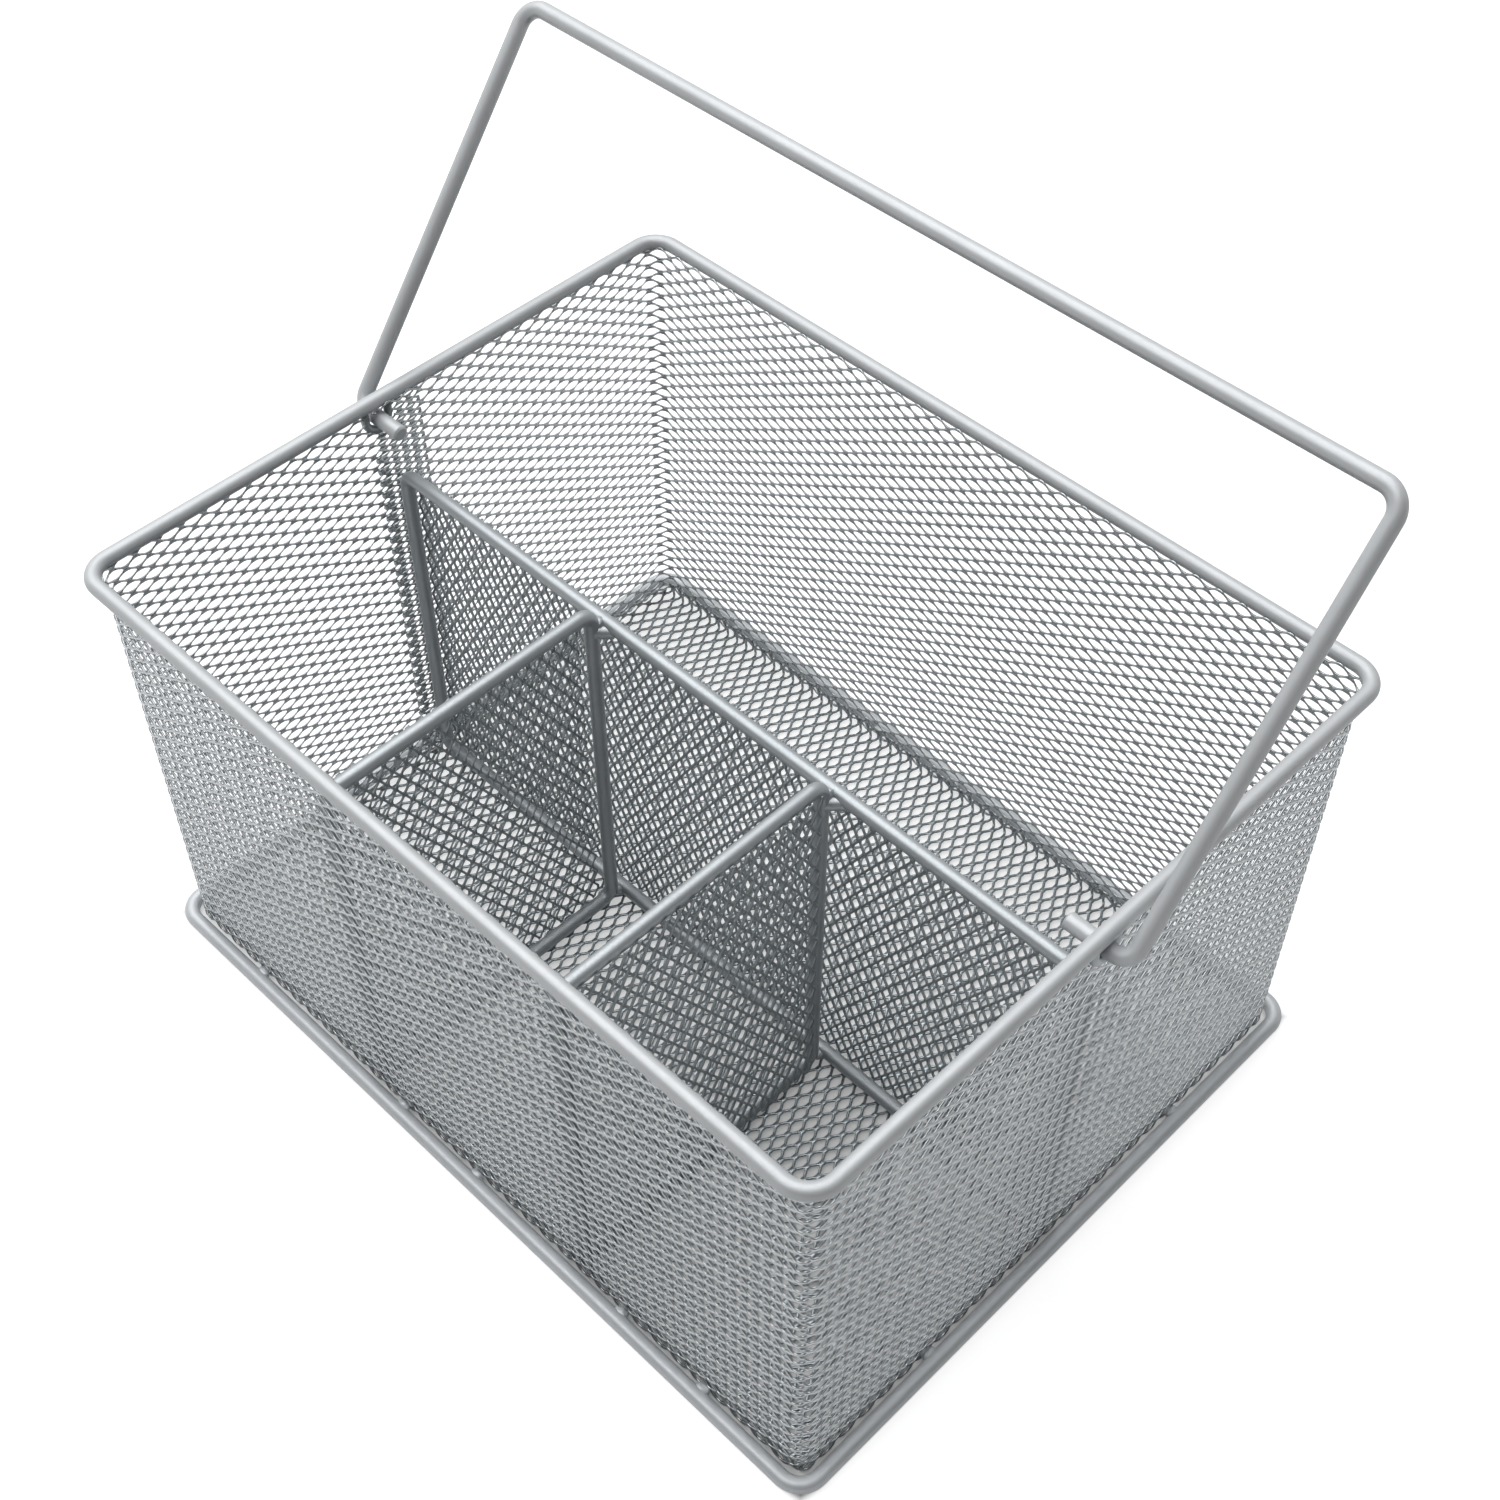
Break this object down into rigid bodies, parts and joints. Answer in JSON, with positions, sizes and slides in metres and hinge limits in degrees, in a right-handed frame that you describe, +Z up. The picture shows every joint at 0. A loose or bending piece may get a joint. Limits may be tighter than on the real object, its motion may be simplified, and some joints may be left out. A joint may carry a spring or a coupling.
{
  "type": "mesh utensil caddy",
  "caption": "Open rectangular caddy of expanded metal mesh on a wire frame, divided into compartments, with a swinging bail handle.",
  "frame": {"origin": "on the surface that the base ring stands on, under the middle of the body", "axes": "+X along the long side, +Y from the front (the side with the short dividers) to the back, +Z up"},
  "size_m": [0.2788, 0.2108, 0.2369],
  "materials": {
    "rim_wire": "satin",
    "base_wire": "satin",
    "wall_mesh": "satin",
    "floor_mesh": "satin",
    "divider_wire": "satin",
    "divider_mesh": "satin",
    "handle_wire": "satin",
    "eye_wire": "satin"
  },
  "bodies": {
    "basket": {"top_rim": "rim_wire", "base_ring": "base_wire", "wall_front": "wall_mesh", "wall_right": "wall_mesh", "wall_back": "wall_mesh", "wall_left_rear": "wall_mesh", "wall_left_front": "wall_mesh", "wall_bend_front_right": "wall_mesh", "wall_bend_back_right": "wall_mesh", "wall_bend_back_left": "wall_mesh", "wall_bend_front_left": "wall_mesh", "floor_mesh": "floor_mesh", "floor_lip_front": "floor_mesh", "floor_lip_back": "floor_mesh", "floor_lip_left": "floor_mesh", "floor_lip_right": "floor_mesh", "long_divider_frame": "divider_wire", "long_divider_mesh": "divider_mesh", "short_divider_left_frame": "divider_wire", "short_divider_left_mesh": "divider_mesh", "short_divider_right_frame": "divider_wire", "short_divider_right_mesh": "divider_mesh", "left_pivot_eye": "eye_wire", "right_pivot_eye": "eye_wire"},
    "handle": {"carry_handle": "handle_wire"}
  },
  "joints": [
    {"name": "handle_swing", "type": "hinge", "parent": "basket", "child": "handle", "pos_m": [0, -0.006, 0.1405], "axis": [1, 0, 0], "range_deg": [-76, 163]}
  ]
}
